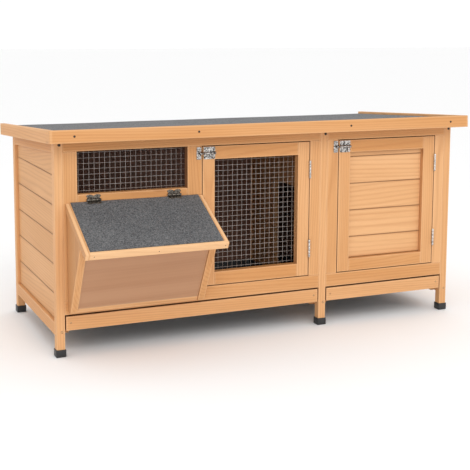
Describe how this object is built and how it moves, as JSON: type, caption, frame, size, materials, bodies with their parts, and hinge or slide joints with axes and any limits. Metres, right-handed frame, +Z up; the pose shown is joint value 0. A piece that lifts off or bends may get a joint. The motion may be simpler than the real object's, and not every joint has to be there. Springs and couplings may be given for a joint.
{
  "type": "rabbit hutch",
  "caption": "Wooden rabbit hutch with a felted pent roof, a mesh door, a boarded nest door, pull-out trays and a lidded hay hopper on the front.",
  "frame": {"origin": "under the middle of the whole object's box, on the ground", "axes": "+X to the right seen from the front, the doors face -Y, +Z up"},
  "size_m": [1.12, 0.664, 0.5347],
  "materials": {
    "pine": "oiled golden pine",
    "pine_boards": "oiled pine boards",
    "plywood": "stained plywood",
    "mineral_felt": "grey mineral roofing felt",
    "galvanised_mesh": "galvanised wire",
    "zinc": "bright zinc plate",
    "dark_steel": "dark bronze lacquer",
    "black_plastic": "moulded, satin"
  },
  "bodies": {
    "carcass": {"post_front_left": "pine", "post_back_left": "pine", "post_front_middle": "pine", "post_back_middle": "pine", "post_front_right": "pine", "post_back_right": "pine", "foot_caps": "black_plastic", "front_top_rails": "pine", "front_bottom_rails": "pine", "window_rail": "pine", "stile_left_end": "pine", "stile_centre": "pine", "stiles_beside_middle_post": "pine", "stile_right_end": "pine", "window_mesh": "galvanised_mesh", "hay_grille": "galvanised_mesh", "left_side_rails": "pine", "left_side_boards": "pine_boards", "right_side_rails": "pine", "right_side_boards": "pine_boards", "back_rails": "pine", "back_boards": "pine_boards", "middle_bearer": "pine", "partition": "plywood", "tray_runners": "pine", "roof_deck": "plywood", "roof_felt": "mineral_felt", "fascia_front": "pine", "fascia_left": "pine", "fascia_right": "pine", "frame_screws": "dark_steel", "hopper_side_left": "pine", "hopper_side_right": "pine", "hopper_front": "plywood", "hopper_batten": "pine", "lid_hinge_wall_leaves": "dark_steel", "door_hinge_frame_leaves": "zinc", "hinge_pins": "zinc", "bolt_keepers": "zinc"},
    "hopper_lid": {"lid_board": "pine", "lid_felt": "mineral_felt", "lid_hinge_leaves": "dark_steel"},
    "mesh_door": {"mesh_door_stiles": "pine", "mesh_door_rails": "pine", "mesh_door_mesh": "galvanised_mesh", "mesh_door_hinge_leaves": "zinc", "mesh_door_bolt_plate": "zinc"},
    "mesh_door_bolt": {"mesh_door_bolt": "zinc"},
    "solid_door": {"solid_door_stiles": "pine", "solid_door_rails": "pine", "solid_door_boards": "pine_boards", "solid_door_hinge_leaves": "zinc", "solid_door_bolt_plate": "zinc"},
    "solid_door_bolt": {"solid_door_bolt": "zinc"},
    "left_tray": {"left_tray_front": "pine", "left_tray_pan": "black_plastic", "left_tray_screws": "zinc"},
    "right_tray": {"right_tray_front": "pine", "right_tray_pan": "black_plastic", "right_tray_screws": "zinc"}
  },
  "joints": [
    {"name": "lid_hinge", "type": "hinge", "parent": "carcass", "child": "hopper_lid", "pos_m": [0, -0.16904, 0.36635], "axis": [-1, 0, 0], "range_deg": [0, 95]},
    {"name": "mesh_door_hinge", "type": "hinge", "parent": "carcass", "child": "mesh_door", "pos_m": [0.115, -0.16904, 0.3], "axis": [0, 0, 1], "range_deg": [0, 165]},
    {"name": "mesh_door_bolt_slide", "type": "slide", "parent": "mesh_door", "child": "mesh_door_bolt", "axis": [-1, 0, 0], "range_m": [0, 0.011]},
    {"name": "solid_door_hinge", "type": "hinge", "parent": "carcass", "child": "solid_door", "pos_m": [0.49, -0.16904, 0.3], "axis": [0, 0, 1], "range_deg": [0, 165]},
    {"name": "solid_door_bolt_slide", "type": "slide", "parent": "solid_door", "child": "solid_door_bolt", "axis": [-1, 0, 0], "range_m": [0, 0.011]},
    {"name": "left_tray_slide", "type": "slide", "parent": "carcass", "child": "left_tray", "axis": [0, -1, 0], "range_m": [0, 0.36]},
    {"name": "right_tray_slide", "type": "slide", "parent": "carcass", "child": "right_tray", "axis": [0, -1, 0], "range_m": [0, 0.36]}
  ]
}
